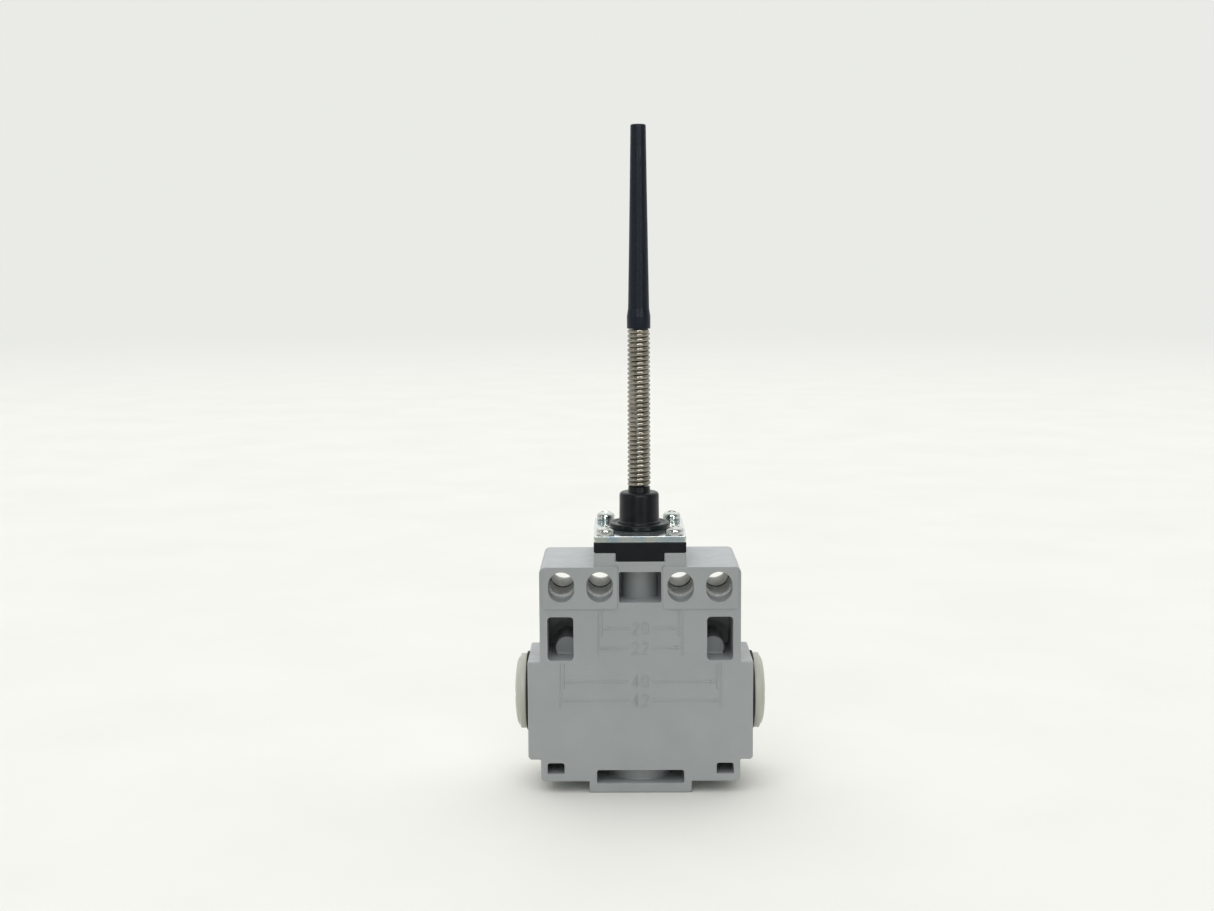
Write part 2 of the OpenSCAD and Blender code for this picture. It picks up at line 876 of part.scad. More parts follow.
housing();
front_cover();
cover_gasket();
cover_screws();
label_plate();
rear_bushes();
front_bushes();
left_plug();
right_plug();
left_plug_seal();
right_plug_seal();
head_base();
head_plate();
head_screws();
head_seal();
pivot_ring();
boot();
rocker_stem();
coil_spring();
rod_core();
rod_sleeve();
plunger();
plunger_spring();
contact_case();
contact_cover();
case_screws();
carrier();
carrier_spring();
bridge_springs();
moving_bridges();
fixed_contacts();
clamp_washers();
terminal_screws();
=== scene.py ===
"""Looks of the spring-rod limit switch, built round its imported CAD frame.

Shapes are written in millimetres and become metres where a mesh is made. The row frame holds throughout:
+X to the right of the mounting face, +Y towards the front cover, +Z up along the rod.
"""

import math

import bmesh
import bpy
from mathutils import Matrix, Vector


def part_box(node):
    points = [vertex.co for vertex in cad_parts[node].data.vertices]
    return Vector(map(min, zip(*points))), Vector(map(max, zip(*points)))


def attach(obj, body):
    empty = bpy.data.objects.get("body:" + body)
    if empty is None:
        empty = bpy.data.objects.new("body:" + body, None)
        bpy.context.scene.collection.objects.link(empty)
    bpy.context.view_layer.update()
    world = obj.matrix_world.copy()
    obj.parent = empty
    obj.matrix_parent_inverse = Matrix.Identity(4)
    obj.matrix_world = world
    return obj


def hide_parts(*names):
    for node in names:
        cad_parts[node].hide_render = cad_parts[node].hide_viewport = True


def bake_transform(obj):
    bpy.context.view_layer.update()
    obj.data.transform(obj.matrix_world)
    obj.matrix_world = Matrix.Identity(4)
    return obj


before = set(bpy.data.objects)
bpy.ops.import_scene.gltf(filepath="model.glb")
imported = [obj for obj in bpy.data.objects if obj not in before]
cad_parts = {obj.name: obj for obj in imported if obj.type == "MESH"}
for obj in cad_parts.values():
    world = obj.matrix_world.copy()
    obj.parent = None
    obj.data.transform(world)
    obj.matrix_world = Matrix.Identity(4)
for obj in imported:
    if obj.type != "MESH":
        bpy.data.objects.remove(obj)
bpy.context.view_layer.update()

MM = 0.001
TURN = 2 * math.pi
SIDES = (-1, 1)

# How the edges of a CAD node are rounded. Lengths are in millimetres and angles in degrees.
SAME_POINT = 0.001
ON_THE_EDGE = 0.02
LEAST_ROOM = 0.12
ROOM_SHARE = 0.35
ROUND_STEPS = 3
FLAT_ANGLE = 0.6
SHARP_ANGLE = 30
RUNS_ON = -0.75


# ---------- places and curves ----------

def box_mm(node):
    """A CAD node's lowest and highest corners, in millimetres."""
    low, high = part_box(node)
    return low / MM, high / MM


def rounded(corners, steps=5, closed=False):
    """Turns corners (u, v, radius) into points, with an arc of that radius in each corner."""
    points = []
    count = len(corners)
    for i, (u, v, radius) in enumerate(corners):
        here = Vector((u, v))
        at_end = not closed and i in (0, count - 1)
        if radius <= 0 or at_end:
            points.append(here)
            continue
        before = Vector(corners[i - 1][:2]) - here
        after = Vector(corners[(i + 1) % count][:2]) - here
        half = before.angle(after) / 2
        reach = min(radius / math.tan(half), 0.49 * before.length, 0.49 * after.length)
        start = here + before.normalized() * reach
        end = here + after.normalized() * reach
        middle = here + (before.normalized() + after.normalized()).normalized() * reach / math.cos(half)
        spoke = start - middle
        swing = spoke.angle_signed(end - middle)
        for k in range(steps + 1):
            points.append(middle + Matrix.Rotation(-swing * k / steps, 2) @ spoke)
    return [(p.x, p.y) for p in points]


# ---------- meshes ----------

def shade(work, sharpest=35):
    """Smooth faces, with hard edges only where the surface turns by more than the given angle."""
    for face in work.faces:
        face.smooth = True
    for edge in work.edges:
        edge.smooth = edge.calc_face_angle(0) < math.radians(sharpest)


def mesh_from(name, points, faces, merge=True):
    """A mesh made from points in millimetres, closed up and facing outwards."""
    work = bmesh.new()
    corners = [work.verts.new(Vector(p) * MM) for p in points]
    for face in faces:
        work.faces.new([corners[i] for i in face])
    if merge:
        bmesh.ops.remove_doubles(work, verts=work.verts, dist=0.0005 * MM)
    bmesh.ops.recalc_face_normals(work, faces=work.faces)
    shade(work)
    mesh = bpy.data.meshes.new(name)
    work.to_mesh(mesh)
    work.free()
    return mesh


def piece_from(name, mesh, finish):
    """A visible piece made of the mesh, with its finish."""
    piece = bpy.data.objects.new(name, mesh)
    bpy.context.scene.collection.objects.link(piece)
    mesh.materials.clear()
    mesh.materials.append(finish)
    return piece


def turned_mesh(name, profile, segments=72, closed=False):
    """A profile of (radius, height) points turned about Z. A closed profile makes a ring."""
    points = []
    for k in range(segments):
        angle = TURN * k / segments
        points += [(r * math.cos(angle), r * math.sin(angle), h) for r, h in profile]
    count = len(profile)
    faces = []
    for k in range(segments):
        for i in range(count if closed else count - 1):
            j = (i + 1) % count
            here, there = k * count, (k + 1) % segments * count
            faces.append((here + i, there + i, there + j, here + j))
    return mesh_from(name, points, faces)


def placed(mesh, places):
    """One mesh made of copies of another, each moved by its matrix."""
    work = bmesh.new()
    for place in places:
        copy = mesh.copy()
        copy.transform(place)
        work.from_mesh(copy)
        bpy.data.meshes.remove(copy)
    bmesh.ops.recalc_face_normals(work, faces=work.faces)
    result = bpy.data.meshes.new(mesh.name + "_set")
    work.to_mesh(result)
    work.free()
    return result


def at_mm(x, y, z, turn=0.0, lay=None):
    """A place in millimetres: turned about Z, then laid over by the lay matrix."""
    spin = Matrix.Rotation(turn, 4, "Z")
    return Matrix.Translation(Vector((x, y, z)) * MM) @ (lay or Matrix.Identity(4)) @ spin


def carved(mesh, cutter):
    """The mesh with the cutter mesh taken out of it."""
    body = bpy.data.objects.new("body", mesh)
    tool = bpy.data.objects.new("tool", cutter)
    for item in (body, tool):
        bpy.context.scene.collection.objects.link(item)
    cut = body.modifiers.new("Recess", "BOOLEAN")
    cut.operation = "DIFFERENCE"
    cut.solver = "EXACT"
    cut.object = tool
    graph = bpy.context.evaluated_depsgraph_get()
    result = bpy.data.meshes.new_from_object(body.evaluated_get(graph))
    for item in (body, tool):
        bpy.data.objects.remove(item)
    work = bmesh.new()
    work.from_mesh(result)
    shade(work)
    work.to_mesh(result)
    work.free()
    return result


def face_room(loop):
    """How far the face of this loop reaches inwards from the loop's edge before it meets its own outline."""
    start, end = loop.vert.co, loop.link_loop_next.vert.co
    along = (end - start).normalized()
    inward = loop.face.normal.cross(along)
    outline = [(v.co - start).dot(along) for v in loop.face.verts]
    depths = [(v.co - start).dot(inward) for v in loop.face.verts]
    length = (end - start).length
    reaches = [max(depths)]
    for i, (here, depth) in enumerate(zip(outline, depths)):
        if 0 <= here <= length:
            reaches.append(depth)
        before = outline[i - 1]
        if (here - length / 2) * (before - length / 2) < 0:
            share = (here - length / 2) / (here - before)
            reaches.append(depth + (depths[i - 1] - depth) * share)
    return min(reach for reach in reaches if reach > ON_THE_EDGE * MM)


def even_out(work, weights):
    """Gives one weight, the least, to all bevelled edges that run on from each other."""
    leader = {edge: edge for edge in work.edges if edge[weights] > 0}

    def first(edge):
        while leader[edge] != edge:
            edge = leader[edge]
        return edge

    for vert in work.verts:
        ends = [(edge, (edge.other_vert(vert).co - vert.co).normalized())
                for edge in vert.link_edges if edge in leader]
        for i, (edge, way) in enumerate(ends):
            for other, other_way in ends[i + 1:]:
                if way.dot(other_way) < RUNS_ON:
                    leader[first(edge)] = first(other)
    least = {}
    for edge in leader:
        least[first(edge)] = min(least.get(first(edge), 1), edge[weights])
    for edge in leader:
        edge[weights] = least[first(edge)]


def softened(node, width, finish, name):
    """Stands for a CAD node whose edges are rounded, as a mould or a press leaves them.
    Narrow steps get a smaller round, so that neighbouring rounds never meet, and the narrowest stay sharp."""
    work = bmesh.new()
    work.from_mesh(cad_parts[node].data)
    bmesh.ops.remove_doubles(work, verts=work.verts, dist=SAME_POINT * MM)
    bmesh.ops.dissolve_limit(work, angle_limit=math.radians(FLAT_ANGLE), verts=work.verts, edges=work.edges)
    weights = work.edges.layers.float.new("bevel_weight_edge")
    next_to_none = 0.001
    for edge in work.edges:
        if edge.calc_face_angle(0) > math.radians(SHARP_ANGLE):
            room = min(face_room(loop) for loop in edge.link_loops)
            fits = room > LEAST_ROOM * MM
            edge[weights] = min(1, ROOM_SHARE * room / (width * MM)) if fits else next_to_none
    even_out(work, weights)
    # Faces with many corners are cut up first, or the rounding would close the holes that they surround.
    bmesh.ops.triangulate(work, faces=[face for face in work.faces if len(face.verts) > 4])
    for face in work.faces:
        face.smooth = True
    for edge in work.edges:
        edge.smooth = True
    mesh = bpy.data.meshes.new(name)
    work.to_mesh(mesh)
    work.free()
    piece = piece_from(name, mesh, finish)
    bevel = piece.modifiers.new("Rounds", "BEVEL")
    bevel.limit_method = "WEIGHT"
    bevel.width = width * MM
    bevel.segments = ROUND_STEPS
    bevel.use_clamp_overlap = False
    bevel.loop_slide = False
    piece.modifiers.new("Shading", "WEIGHTED_NORMAL")
    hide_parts(node)
    return piece


# ---------- materials ----------

def paint(red, green, blue):
    """A display colour from 0 to 255, as the linear colour that a shader takes."""
    def linear(value):
        value /= 255
        return value / 12.92 if value <= 0.04045 else ((value + 0.055) / 1.055) ** 2.4
    return linear(red), linear(green), linear(blue), 1.0


class Finish:
    """A material whose colour, roughness and relief come from noise in the object's own millimetres."""

    def __init__(self, name, **settings):
        self.material = bpy.data.materials.new(name)
        self.material.use_nodes = True
        self.nodes = self.material.node_tree.nodes
        self.links = self.material.node_tree.links
        self.shader = self.nodes["Principled BSDF"]
        for socket, value in settings.items():
            self.shader.inputs[socket.replace("_", " ")].default_value = value
        place = self.nodes.new("ShaderNodeTexCoord")
        scaled = self.nodes.new("ShaderNodeVectorMath")
        scaled.operation = "SCALE"
        scaled.inputs["Scale"].default_value = 1 / MM
        self.links.new(place.outputs["Object"], scaled.inputs[0])
        self.millimetres = scaled.outputs[0]

    def noise(self, size, detail=3.0, stretch=(1, 1, 1), contrast=(0.35, 0.65)):
        """Noise from 0 to 1 with features of that size in millimetres."""
        vector = self.nodes.new("ShaderNodeVectorMath")
        vector.operation = "MULTIPLY"
        vector.inputs[1].default_value = stretch
        self.links.new(self.millimetres, vector.inputs[0])
        pattern = self.nodes.new("ShaderNodeTexNoise")
        pattern.inputs["Scale"].default_value = 1 / size
        pattern.inputs["Detail"].default_value = detail
        self.links.new(vector.outputs[0], pattern.inputs["Vector"])
        spread = self.nodes.new("ShaderNodeMapRange")
        spread.inputs["From Min"].default_value, spread.inputs["From Max"].default_value = contrast
        self.links.new(pattern.outputs["Fac"], spread.inputs["Value"])
        return spread.outputs["Result"]

    def blend(self, share, first, second):
        """A colour between two others. Each is a colour or another blend."""
        mix = self.nodes.new("ShaderNodeMix")
        mix.data_type = "RGBA"
        self.links.new(share, mix.inputs["Factor"])
        for socket, value in ((mix.inputs[6], first), (mix.inputs[7], second)):
            if isinstance(value, tuple):
                socket.default_value = value
            else:
                self.links.new(value, socket)
        return mix.outputs[2]

    def between(self, share, low, high):
        """A number from low to high as the share goes from 0 to 1."""
        spread = self.nodes.new("ShaderNodeMapRange")
        spread.inputs["To Min"].default_value = low
        spread.inputs["To Max"].default_value = high
        self.links.new(share, spread.inputs["Value"])
        return spread.outputs["Result"]

    def colour(self, source):
        self.links.new(source, self.shader.inputs["Base Color"])

    def roughness(self, source):
        self.links.new(source, self.shader.inputs["Roughness"])

    def relief(self, *layers):
        """Adds relief from (height from 0 to 1, depth in millimetres) layers, coarse ones first."""
        normal = None
        for height, depth in layers:
            bump = self.nodes.new("ShaderNodeBump")
            bump.inputs["Distance"].default_value = depth * MM
            self.links.new(height, bump.inputs["Height"])
            if normal:
                self.links.new(normal, bump.inputs["Normal"])
            normal = bump.outputs["Normal"]
        self.links.new(normal, self.shader.inputs["Normal"])


def shifted(colour, factor):
    return tuple(channel * factor for channel in colour[:3]) + (1.0,)


def moulded(name, colour, rough, specular=0.45, mottle=0.05):
    """Moulded plastic: a faint mottle, flow marks, and a fine grain."""
    grain, relief = 0.25, 0.006
    finish = Finish(name, Specular_IOR_Level=specular)
    mottled = finish.blend(finish.noise(9), shifted(colour, 1 - mottle), shifted(colour, 1 + mottle))
    grained = finish.blend(finish.noise(grain * 1.6), mottled, shifted(colour, 1 - mottle / 2))
    finish.colour(grained)
    finish.roughness(finish.between(finish.noise(2.5), *rough))
    finish.relief((finish.noise(6, detail=1.0), relief), (finish.noise(grain, detail=4.0), relief))
    return finish.material


def rubber(name, colour, rough=(0.55, 0.75), specular=0.35):
    """Black rubber with a slight bloom and fine dust."""
    finish = Finish(name, Specular_IOR_Level=specular)
    bloom = finish.blend(finish.noise(3.0), colour, shifted(colour, 1.3))
    dust = finish.noise(0.22, detail=2.0, contrast=(0.66, 0.72))
    finish.colour(finish.blend(dust, bloom, shifted(colour, 4.0)))
    finish.roughness(finish.between(finish.noise(1.5), *rough))
    finish.relief((finish.noise(0.35, detail=4.0), 0.01))
    return finish.material


def plated(name, colour, tint, rough, relief=0.004, pitting=0.55, metallic=1.0):
    """Plated steel: a mirror-like skin with passivation tints and small pits."""
    finish = Finish(name, Metallic=metallic)
    clouded = finish.blend(finish.noise(3.2, contrast=(0.4, 0.62)), colour, tint)
    pits = finish.noise(0.3, detail=4.0, contrast=(0.62, 0.75))
    finish.colour(finish.blend(pits, clouded, shifted(colour, pitting)))
    finish.roughness(finish.between(finish.noise(0.8), *rough))
    finish.relief((finish.noise(1.6, detail=2.0), relief * 3), (finish.noise(0.2), relief))
    return finish.material


def cast_metal(name, colour):
    """Dull grey metal with a coarse, dusty grain, as inside the mounting bushes."""
    finish = Finish(name, Metallic=0.1, Specular_IOR_Level=0.4)
    dusty = finish.blend(finish.noise(0.35, detail=5.0), shifted(colour, 0.72), shifted(colour, 1.18))
    finish.colour(dusty)
    finish.roughness(finish.between(finish.noise(0.9), 0.5, 0.75))
    finish.relief((finish.noise(0.3, detail=4.0), 0.03))
    return finish.material


def film(name, colour):
    """Satin label film with a fine horizontal brushing."""
    finish = Finish(name, Metallic=0.6, Specular_IOR_Level=0.5)
    brushed = finish.noise(0.2, stretch=(0.04, 1, 1))
    finish.colour(finish.blend(brushed, shifted(colour, 0.92), colour))
    finish.roughness(finish.between(brushed, 0.28, 0.42))
    finish.relief((brushed, 0.002))
    return finish.material


HOUSING = moulded("grey_housing_plastic", paint(169, 174, 175), rough=(0.38, 0.5))
COVER = moulded("light_grey_cover_plastic", paint(192, 193, 182), rough=(0.4, 0.55), mottle=0.04)
BLACK = moulded("black_head_plastic", paint(17, 22, 26), rough=(0.34, 0.46), mottle=0.12, specular=0.2)
CASE = moulded("contact_case_plastic", paint(38, 39, 42), rough=(0.45, 0.6), mottle=0.1)
CARRIER = moulded("carrier_red_plastic", paint(176, 74, 48), rough=(0.35, 0.5))
NYLON = moulded("natural_nylon", paint(222, 216, 196), rough=(0.3, 0.45))
SLEEVE = moulded("rod_sleeve_plastic", paint(19, 29, 42), rough=(0.34, 0.48), mottle=0.12, specular=0.22)
RUBBER = rubber("black_boot_rubber", paint(10, 17, 20), rough=(0.28, 0.38), specular=0.25)
GASKET = rubber("black_gasket_rubber", paint(24, 25, 26))
ZINC = plated("bright_zinc_plate", paint(222, 228, 222), paint(196, 214, 222), rough=(0.07, 0.13),
              relief=0.0012, metallic=0.9)
SCREW = plated("bright_screw_steel", paint(206, 210, 206), paint(188, 194, 190), rough=(0.12, 0.22),
               relief=0.003, metallic=0.95)
SPRING = plated("spring_steel_wire", paint(158, 153, 142), paint(144, 139, 128), rough=(0.16, 0.24),
                relief=0.0003, pitting=0.9, metallic=0.8)
BLUED = plated("blued_steel", paint(46, 50, 54), paint(38, 42, 46), rough=(0.3, 0.45), relief=0.002)
BUSH = cast_metal("dusty_bush_metal", paint(228, 230, 227))
BRASS = plated("contact_brass", paint(196, 158, 98), paint(176, 132, 84), rough=(0.2, 0.35))
LABEL = film("blank_label_film", paint(206, 208, 206))

NODE_FINISH = {
    "housing": HOUSING, "front_cover": COVER, "cover_gasket": GASKET, "cover_screws": SCREW,
    "label_plate": LABEL, "rear_bushes": BUSH, "front_bushes": COVER,
    "left_plug": COVER, "right_plug": COVER, "left_plug_seal": GASKET, "right_plug_seal": GASKET,
    "head_base": BLACK, "head_plate": ZINC, "head_screws": SCREW, "head_seal": GASKET,
    "pivot_ring": NYLON, "boot": RUBBER, "rocker_stem": BLUED, "coil_spring": SPRING,
    "rod_core": SCREW, "rod_sleeve": SLEEVE, "plunger": NYLON, "plunger_spring": SPRING,
    "contact_case": CASE, "contact_cover": NYLON, "case_screws": SCREW, "carrier": CARRIER,
    "carrier_spring": SPRING, "bridge_springs": SPRING, "moving_bridges": BRASS,
    "fixed_contacts": BRASS, "clamp_washers": SCREW, "terminal_screws": SCREW,
}


def finish_cad_nodes():
    """Gives every CAD node its finish, also where a visible piece stands for it."""
    for node, finish in NODE_FINISH.items():
        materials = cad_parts[node].data.materials
        materials.clear()
        materials.append(finish)


# ---------- housing, cover and head ----------

# Node, radius of its edge rounds, finish, slot, and name of the visible piece
MOULDINGS = (
    ("housing", 0.4, HOUSING, "housing_plastic", "housing_moulding"),
    ("front_cover", 0.5, COVER, "cover_plastic", "front_cover_moulding"),
    ("head_base", 0.4, BLACK, "black_plastic", "head_base_moulding"),
    ("head_plate", 0.18, ZINC, "zinc_plate", "pressed_head_plate"),
    ("left_plug_seal", 0.2, GASKET, "black_rubber", "left_sealing_ring"),
    ("right_plug_seal", 0.2, GASKET, "black_rubber", "right_sealing_ring"),
)


def make_mouldings():
    for node, round_r, finish, slot, name in MOULDINGS:
        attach(softened(node, round_r, finish, name), "root")


def dome(radius, base, height, steps):
    """Profile points of a dome from its rim at the given radius and base height, up to the axis."""
    swings = [math.pi / 2 * k / steps for k in range(1, steps + 1)]
    return [(radius * math.cos(swing), base + height * math.sin(swing)) for swing in swings]


def make_plug(node, side, name):
    """A blanking plug: a rim with a rounded edge, a shallow dome with a coin slot, and a hollow shank."""
    low, high = box_mm(node)
    middle = (low + high) / 2
    radius = (high.z - low.z) / 2
    seat = box_mm(node + "_seal")[0 if side < 0 else 1].x
    tip = low.x if side < 0 else high.x
    root = high.x if side < 0 else low.x
    thick = abs(tip - seat)
    shank = abs(seat - root)
    rim = 0.52 * thick
    shank_r, hollow_r, hollow_depth = 8.0, 6.4, 4.5
    slot_size, slot_depth = (1.0, 7.0, 0.75), 0.95
    profile = rounded([
        (0, hollow_depth - shank, 0), (hollow_r, hollow_depth - shank, 0.5), (hollow_r, -shank, 0.2),
        (shank_r, -shank, 0.4), (shank_r, 0, 0.1), (radius - 0.1, 0, 0.2), (radius, rim, 0.55),
        (radius - 0.75, rim + 0.1, 0.2), (radius - 1.0, rim + 0.35, 0.3)], steps=4)
    start_r, start_h = profile[-1]
    profile += dome(start_r, start_h, thick - start_h, steps=14)
    mesh = turned_mesh(name, profile, segments=96)
    slot_mesh = bar_mesh("slot", slot_size, thick - slot_depth, thick + 1)
    lay = Matrix.Rotation(side * math.pi / 2, 4, "Y")
    mesh = placed(carved(mesh, slot_mesh), [at_mm(seat, middle.y, middle.z, lay=lay)])
    piece = piece_from(name, mesh, COVER)
    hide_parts(node)
    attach(piece, "root")


def bar_mesh(name, size, bottom, top):
    """A bar with round ends along Y: half width, half length and the radius of its ends."""
    half, reach, end_r = size
    corners = [(-half, -reach, end_r), (half, -reach, end_r), (half, reach, end_r), (-half, reach, end_r)]
    outline = rounded(corners, steps=5, closed=True)
    count = len(outline)
    points = [(x, y, bottom) for x, y in outline] + [(x, y, top) for x, y in outline]
    faces = [tuple(range(count - 1, -1, -1)), tuple(range(count, 2 * count))]
    for i in range(count):
        j = (i + 1) % count
        faces.append((i, j, count + j, count + i))
    return mesh_from(name, points, faces)


def make_bush_seams():
    """The dark joint between the two bushes of each mounting hole: a black ring that fills the gap between
    them, with a thin lip that lines the bore a little way in. The lip is painted shade: a dark band drawn in
    the bore where the seam's shadow falls."""
    low, high = box_mm("rear_bushes")
    outer = (high.z - low.z) / 2
    bush_wall, hole_step, lip = 0.6, 10, 1.7
    bore = outer - bush_wall
    gap = box_mm("front_bushes")[0].y - high.y - 0.05
    spread = (high.x - low.x) / 2 - outer
    # Painted shade: the lip lines the bore from the joint to 1.7 mm in as a black band.
    profile = [(bore - 0.03, 0), (bore + 0.02, 0), (outer - 0.02, 0), (outer - 0.02, gap),
               (bore - 0.01, gap), (bore - 0.01, lip), (bore - 0.03, lip)]
    ring = turned_mesh("bush_seam", profile, segments=64, closed=True)
    lay = Matrix.Rotation(-math.pi / 2, 4, "X")
    places = [at_mm(x, high.y, (low.z + high.z) / 2, lay=lay)
              for x in (-spread, hole_step - spread, spread - hole_step, spread)]
    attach(piece_from("bush_seams", placed(ring, places), GASKET), "root")


# ---------- screws ----------

def recess_wing(depth, reach, width, top):
    """The cutter for one bar of a cross recess, narrower at the bottom."""
    points = []
    for level, long_share, wide_share in ((-depth, 0.45, 0.7), (top, 1.0, 1.0)):
        for x, y in ((-1, -1), (1, -1), (1, 1), (-1, 1)):
            points.append((x * reach * long_share, y * width / 2 * wide_share, level))
    faces = [(3, 2, 1, 0), (4, 5, 6, 7), (0, 1, 5, 4), (1, 2, 6, 5), (2, 3, 7, 6), (3, 0, 4, 7)]
    return mesh_from("recess", points, faces, merge=False)


def pan_screw(name, head_r, head_h, shank_r, length):
    """A domed pan-head screw with a cross recess. The head stands on z = 0 and the shank goes down."""
    wall = 0.42 * head_h
    profile = rounded([
        (0, -length, 0), (shank_r - 0.35, -length, 0), (shank_r, -length + 0.5, 0), (shank_r, 0, 0),
        (head_r - 0.08, 0, 0.1), (head_r, wall, 0)], steps=3)
    profile += dome(head_r, wall, head_h - wall, steps=10)
    mesh = turned_mesh(name, profile, segments=48)
    for turn in (0, math.pi / 2):
        wing = recess_wing(depth=0.62 * head_h, reach=0.62 * head_r, width=0.3 * head_r, top=0.4)
        wing.transform(at_mm(0, 0, head_h, turn))
        mesh = carved(mesh, wing)
    return mesh


def make_head_screws():
    """The four screws that clamp the head plate, each driven home at its own angle."""
    low, high = box_mm("head_screws")
    plate_top = box_mm("head_plate")[1].z
    head_r, shank_r = 2.4, 1.45
    spread_x = (high.x - low.x) / 2 - head_r
    spread_y = (high.y - low.y) / 2 - head_r
    mesh = pan_screw("head_screw", head_r, high.z - plate_top, shank_r, plate_top - low.z)
    turns = {(-1, -1): 0.5, (1, -1): 1.15, (-1, 1): 0.15, (1, 1): 0.85}
    places = [at_mm(sx * spread_x, sy * spread_y, plate_top, turn) for (sx, sy), turn in turns.items()]
    piece = piece_from("pan_head_screws", placed(mesh, places), SCREW)
    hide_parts("head_screws")
    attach(piece, "root")


def make_cover_screws():
    """The two cover screws, which lie along Y with their heads sunk in the cover's front."""
    low, high = box_mm("cover_screws")
    head_r, head_h, shank_r = 2.9, 1.6, 1.5
    seat = high.y - head_h
    lay = Matrix.Rotation(-math.pi / 2, 4, "X")
    mesh = pan_screw("cover_screw", head_r, head_h, shank_r, seat - low.y)
    places = [at_mm(x, seat, (low.z + high.z) / 2, turn, lay)
              for x, turn in ((low.x + head_r, 0.4), (high.x - head_r, 1.1))]
    piece = piece_from("pan_cover_screws", placed(mesh, places), SCREW)
    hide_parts("cover_screws")
    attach(piece, "root")


# ---------- springs ----------

def wire_coil(name, z0, z1, r_low, r_high, wire, turns, phase=0.0, closed_turns=0.8):
    """Round wire wound right-handed about Z, with close turns at both ends. Radii are outer radii."""
    steps = 40
    sides = 12
    count = int(turns * steps)
    closed_slope, closed_share = 0.12, 0.4
    slopes = []
    for i in range(count):
        turn = min(i, count - i) / steps
        opening = min(1, max(0, (turn - closed_turns * closed_share) / closed_turns))
        slopes.append(closed_slope + (1 - closed_slope) * opening)
    total = sum(slopes)
    points = []
    height = z0 + wire / 2
    for i in range(count + 1):
        share = i / count
        angle = phase + TURN * i / steps
        mean_r = r_low + (r_high - r_low) * share - wire / 2
        for k in range(sides):
            swing = TURN * k / sides
            reach = mean_r + wire / 2 * math.cos(swing)
            level = height + wire / 2 * math.sin(swing)
            points.append((reach * math.cos(angle), reach * math.sin(angle), level))
        if i < count:
            height += (z1 - z0 - wire) * slopes[i] / total
    faces = []
    for i in range(count):
        for k in range(sides):
            j = (k + 1) % sides
            faces.append((i * sides + k, i * sides + j, (i + 1) * sides + j, (i + 1) * sides + k))
    faces.append(tuple(range(sides)))
    faces.append(tuple(count * sides + k for k in range(sides)))
    return mesh_from(name, points, faces, merge=False)


def make_rod_spring():
    """The close-wound spring that carries the rod."""
    low, high = box_mm("coil_spring")
    foot_r, wire, turns, first_turn = 3.1, 1.18, 33.67, math.radians(101)
    mesh = wire_coil("rod_spring", low.z, high.z, foot_r, high.x, wire, turns, first_turn, closed_turns=0.4)
    piece = piece_from("wound_rod_spring", mesh, SPRING)
    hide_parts("coil_spring")
    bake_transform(piece)


def make_inner_spring(node, name, wire, turns):
    """A small spring that stands between the root body and a sliding body, wound in place of the CAD node."""
    low, high = box_mm(node)
    mesh = wire_coil(name, low.z, high.z, high.x, high.x, wire, turns)
    piece = piece_from(name, mesh, SPRING)
    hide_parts(node)
    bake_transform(piece)


# ---------- boot and rod ----------

def make_boot():
    """The rubber boot: a lip under the plate, a dished flange on it, a barrel with a soft shoulder, and
    a neck that runs up round the stem's collar to just under the spring."""
    low, high = box_mm("boot")
    plate_top = box_mm("head_plate")[1].z
    top = high.z
    barrel_top = top - 0.6
    neck_top = box_mm("coil_spring")[0].z - 0.05
    ring_r, lip_r, waist_r, flange_r, barrel_r = 5.85, 8.3, 6.9, 8.05, 5.25
    neck_r, collar_r, stem_r, hollow_r = 2.88, 2.68, 1.97, 4.1
    lip_top = low.z + 0.85
    hollow_low, hollow_top = 70.6, 76.0
    profile = rounded([
        (ring_r, low.z, 0), (lip_r, low.z, 0.15), (lip_r, lip_top, 0.15), (waist_r, lip_top, 0.1),
        (waist_r, plate_top + 0.05, 0.1), (flange_r, plate_top + 0.05, 0.25),
        (flange_r, plate_top + 1.45, 0.35), (7.2, plate_top + 1.5, 0.2), (6.6, plate_top + 1.15, 0.5),
        (5.75, plate_top + 1.2, 0.25), (5.65, plate_top + 1.75, 0.2), (5.3, plate_top + 2.0, 0.2),
        (barrel_r, barrel_top, 1.0), (3.45, barrel_top + 0.12, 0.2), (2.95, barrel_top - 0.02, 0.2),
        (neck_r, neck_top, 0.1), (collar_r, neck_top, 0.05), (collar_r, top, 0.05), (stem_r, top, 0.1),
        (stem_r, hollow_top + 0.8, 0.1), (hollow_r, hollow_top, 0.6), (hollow_r, hollow_low, 0.5),
        (ring_r, hollow_low - 1.2, 0.3)],
        steps=5, closed=True)
    mesh = turned_mesh("moulded_boot", profile, 96, closed=True)
    piece = piece_from("moulded_boot", mesh, RUBBER)
    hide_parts("boot")
    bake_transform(piece)


def make_sleeve():
    """The plastic sleeve: a skirt over the spring's end, a short cone, then a long taper to a soft tip."""
    low, high = box_mm("rod_sleeve")
    z = low.z
    bore_top = box_mm("rod_core")[1].z
    bore_r, skirt_r, tip_r = 1.2, 3.1, 2.0
    profile = rounded([
        (0, bore_top, 0), (bore_r, bore_top, 0), (bore_r, z + 0.4, 0), (2.3, z + 0.02, 0.2), (3.08, z, 0.22),
        (skirt_r, z + 3.2, 0.7), (2.78, z + 5.3, 0.9), (2.7, z + 9.5, 2), (2.44, z + 24, 3),
        (2.2, z + 38.5, 3), (tip_r, high.z, 0.45), (0, high.z, 0)], steps=6)
    mesh = turned_mesh("moulded_sleeve", profile)
    piece = piece_from("moulded_sleeve", mesh, SLEEVE)
    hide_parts("rod_sleeve")
    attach(piece, "rod")


# ---------- raised marks on the mounting face ----------

